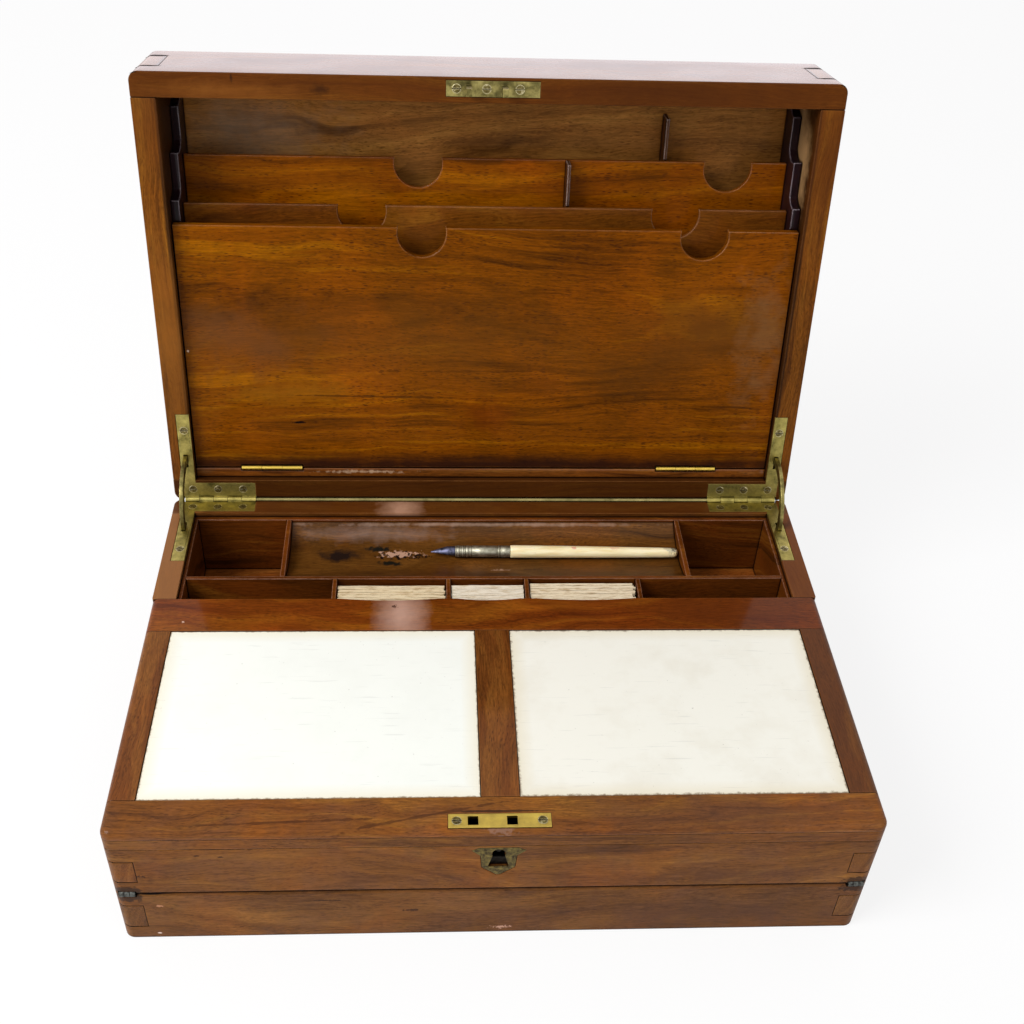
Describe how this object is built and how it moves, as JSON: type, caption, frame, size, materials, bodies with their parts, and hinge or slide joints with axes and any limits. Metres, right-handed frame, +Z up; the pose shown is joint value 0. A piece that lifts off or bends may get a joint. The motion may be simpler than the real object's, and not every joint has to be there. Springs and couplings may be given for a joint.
{
  "type": "writing slope",
  "caption": "Rectangular hardwood writing box, lid open on quadrant hinges, with letter rack and fall flap, pen tray, framed writing tablets and a hinged lower tray.",
  "frame": {"origin": "centre of the underside of the lower tray, on the surface it stands on", "axes": "+X to the right along the box's length, +Y to the back towards the lid hinge, +Z up"},
  "size_m": [0.4, 0.3748, 0.3516],
  "materials": {
    "polished_walnut": "satin polish, aged",
    "inner_walnut": "satin polish",
    "brass": "aged, dull",
    "lock_iron": "dull",
    "blued_steel": "blued",
    "pewter": "dull, turned",
    "bone": "polished",
    "tablet_white": "matt",
    "tablet_cream": "matt",
    "card": "cut card edges"
  },
  "bodies": {
    "tray": {"tray_front_wall": "polished_walnut", "tray_back_wall": "polished_walnut", "tray_left_wall": "polished_walnut", "tray_right_wall": "polished_walnut", "tray_bottom_board": "inner_walnut", "slope_hinge_lower_leaves": "brass", "slope_hinge_pins": "brass"},
    "upper_case": {"case_front_wall": "polished_walnut", "case_back_wall": "polished_walnut", "case_left_wall": "polished_walnut", "case_right_wall": "polished_walnut", "frame_front_rail": "polished_walnut", "frame_rear_rail": "polished_walnut", "frame_left_stile": "polished_walnut", "frame_right_stile": "polished_walnut", "frame_muntin": "polished_walnut", "writing_bed_board": "polished_walnut", "well_floor": "inner_walnut", "compartment_cross_wall": "inner_walnut", "tray_linings": "inner_walnut", "long_divider": "inner_walnut", "well_dividers": "inner_walnut", "compartment_partitions": "inner_walnut", "pen_trough": "inner_walnut", "slope_hinge_upper_leaves": "brass", "left_hinge_case_leaf": "brass", "right_hinge_case_leaf": "brass", "hinge_rod": "brass", "case_screws": "brass", "lock_plate": "brass", "escutcheon": "brass", "lock_case": "lock_iron", "left_tablet": "tablet_white", "right_tablet": "tablet_cream"},
    "lid": {"lid_front_wall": "polished_walnut", "lid_back_wall": "polished_walnut", "lid_left_wall": "polished_walnut", "lid_right_wall": "polished_walnut", "lid_top_board": "polished_walnut", "rack_front_divider": "inner_walnut", "rack_rear_divider": "inner_walnut", "rack_partitions": "inner_walnut", "rack_cheeks": "inner_walnut", "flap_hinge_rail": "inner_walnut", "flap_hinge_rail_leaves": "brass", "left_hinge_lid_leaf": "brass", "right_hinge_lid_leaf": "brass", "striker_plate": "brass", "lid_screws": "brass"},
    "flap": {"fall_flap": "inner_walnut", "flap_hinge_flap_leaves": "brass"},
    "left_stay": {"left_stay": "brass"},
    "right_stay": {"right_stay": "brass"},
    "bolt": {"lock_bolt": "lock_iron"},
    "pen": {"pen_nib": "blued_steel", "pen_ferrule": "pewter", "pen_handle": "bone"},
    "left_pack": {"left_card_pack": "card"},
    "middle_pack": {"middle_card_pack": "card"},
    "right_pack": {"right_card_pack": "card"}
  },
  "joints": [
    {"name": "case_hinge", "type": "hinge", "parent": "tray", "child": "upper_case", "pos_m": [0, -0.1315, 0.04], "axis": [1, 0, 0], "range_deg": [0, 105]},
    {"name": "lid_hinge", "type": "hinge", "parent": "upper_case", "child": "lid", "pos_m": [0, 0.1325, 0.091], "axis": [-1, 0, 0], "range_deg": [-100.4, 0]},
    {"name": "left_stay_swing", "type": "hinge", "parent": "upper_case", "child": "left_stay", "pos_m": [0, 0.1325, 0.091], "axis": [-1, 0, 0], "range_deg": [-50.2, 0]},
    {"name": "right_stay_swing", "type": "hinge", "parent": "upper_case", "child": "right_stay", "pos_m": [0, 0.1325, 0.091], "axis": [-1, 0, 0], "range_deg": [-50.2, 0]},
    {"name": "flap_hinge", "type": "hinge", "parent": "lid", "child": "flap", "pos_m": [0, 0.14159, 0.11007], "axis": [1, 0, 0], "range_deg": [0, 90]},
    {"name": "bolt_slide", "type": "slide", "parent": "upper_case", "child": "bolt", "axis": [1, 0, 0], "range_m": [-0.005, 0]},
    {"name": "pen_lift", "type": "slide", "parent": "upper_case", "child": "pen", "axis": [0, 0, 1], "range_m": [0, 0.025]},
    {"name": "left_pack_lift", "type": "slide", "parent": "upper_case", "child": "left_pack", "axis": [0, 0, 1], "range_m": [0, 0.03]},
    {"name": "middle_pack_lift", "type": "slide", "parent": "upper_case", "child": "middle_pack", "axis": [0, 0, 1], "range_m": [0, 0.03]},
    {"name": "right_pack_lift", "type": "slide", "parent": "upper_case", "child": "right_pack", "axis": [0, 0, 1], "range_m": [0, 0.03]}
  ],
  "couplings": [
    {"joint": "left_stay_swing", "follows": "lid_hinge", "ratio": 0.5},
    {"joint": "right_stay_swing", "follows": "lid_hinge", "ratio": 0.5}
  ]
}
